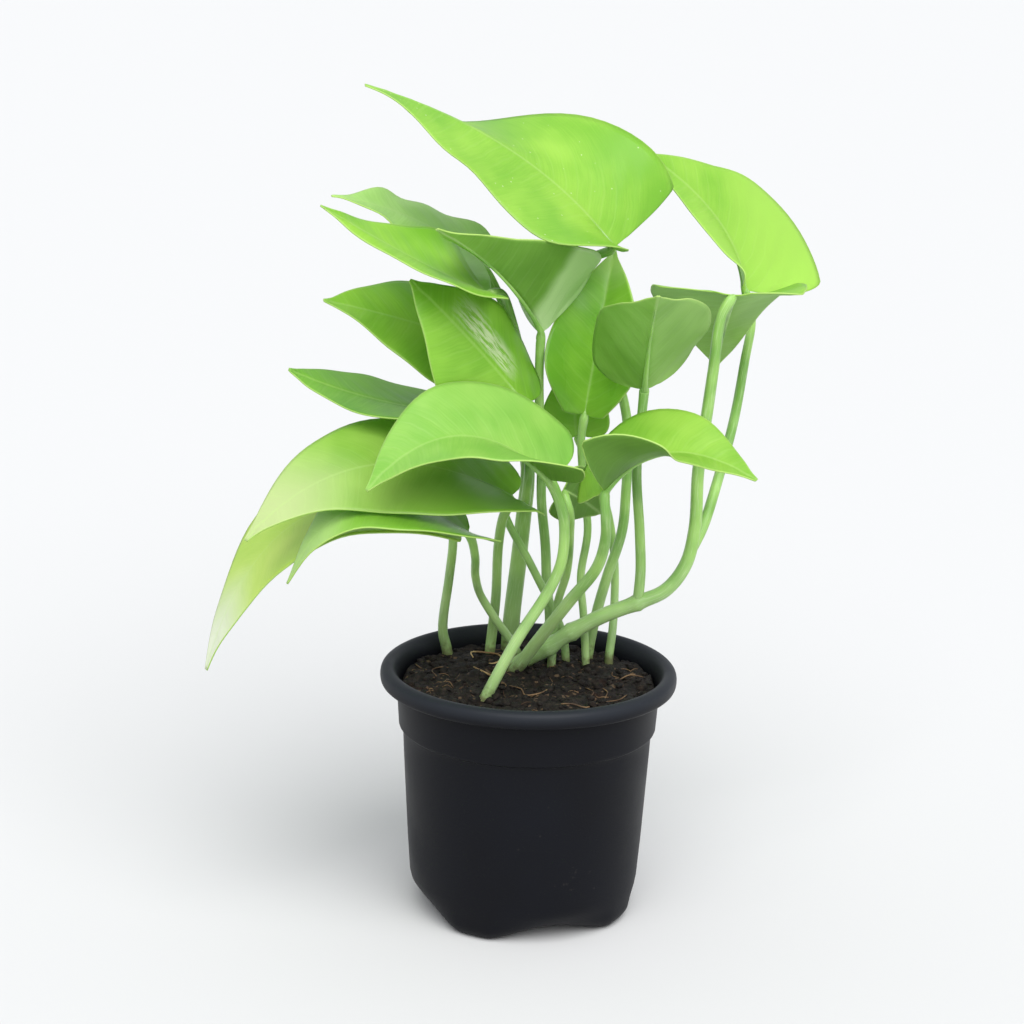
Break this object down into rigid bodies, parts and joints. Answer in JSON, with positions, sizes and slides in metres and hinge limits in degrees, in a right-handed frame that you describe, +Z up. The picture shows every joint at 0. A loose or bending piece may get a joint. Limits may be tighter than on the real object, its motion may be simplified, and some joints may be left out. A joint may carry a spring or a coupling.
{
  "type": "potted pothos plant",
  "caption": "Bushy pothos with lime-green heart-shaped leaves on slender petioles, standing in a black plastic nursery pot filled with dark soil.",
  "frame": {"origin": "on the floor under the middle of the whole plant's bounding box; the middle of the pot stands 4.3 mm to the right of it and 12 mm in front of it", "axes": "+Z up; -Y is the front, the side with the low front leaf; +X is the side of the tall right-hand vine"},
  "size_m": [0.226, 0.1588, 0.3058],
  "materials": {
    "pot_plastic": "injection-moulded black polypropylene",
    "soil": "damp peat and coir potting soil",
    "leaf": "smooth, softly glossy lime-green leaf",
    "leaf_young": "smooth yellow-green leaf",
    "leaf_shaded": "smooth mid-green leaf",
    "stem": "smooth pale green living stem"
  },
  "bodies": {
    "root": {"pot": "pot_plastic", "soil": "soil", "petiole_left_low": "stem", "petiole_left_narrow": "stem", "petiole_left_large": "stem", "petiole_left_shade": "stem", "vine_back": "stem", "petiole_centre_fold": "stem", "petiole_front": "stem", "petiole_small_under": "stem", "vine_right": "stem", "petiole_centre_back": "stem", "petiole_top": "stem", "petiole_small_back": "stem", "leaf_top": "leaf", "leaf_right_back": "leaf", "leaf_right_hanging": "leaf", "leaf_centre_cup": "leaf", "leaf_centre_fold": "leaf", "leaf_left_upper": "leaf", "leaf_left_back": "leaf", "leaf_left_mid": "leaf", "leaf_centre_left": "leaf", "leaf_left_shade": "leaf_shaded", "leaf_front": "leaf", "leaf_left_large": "leaf", "leaf_left_low": "leaf_young", "leaf_left_narrow": "leaf", "leaf_front_right": "leaf", "leaf_centre_back": "leaf", "leaf_small_under": "leaf_shaded", "leaf_small_back": "leaf"}
  },
  "joints": []
}
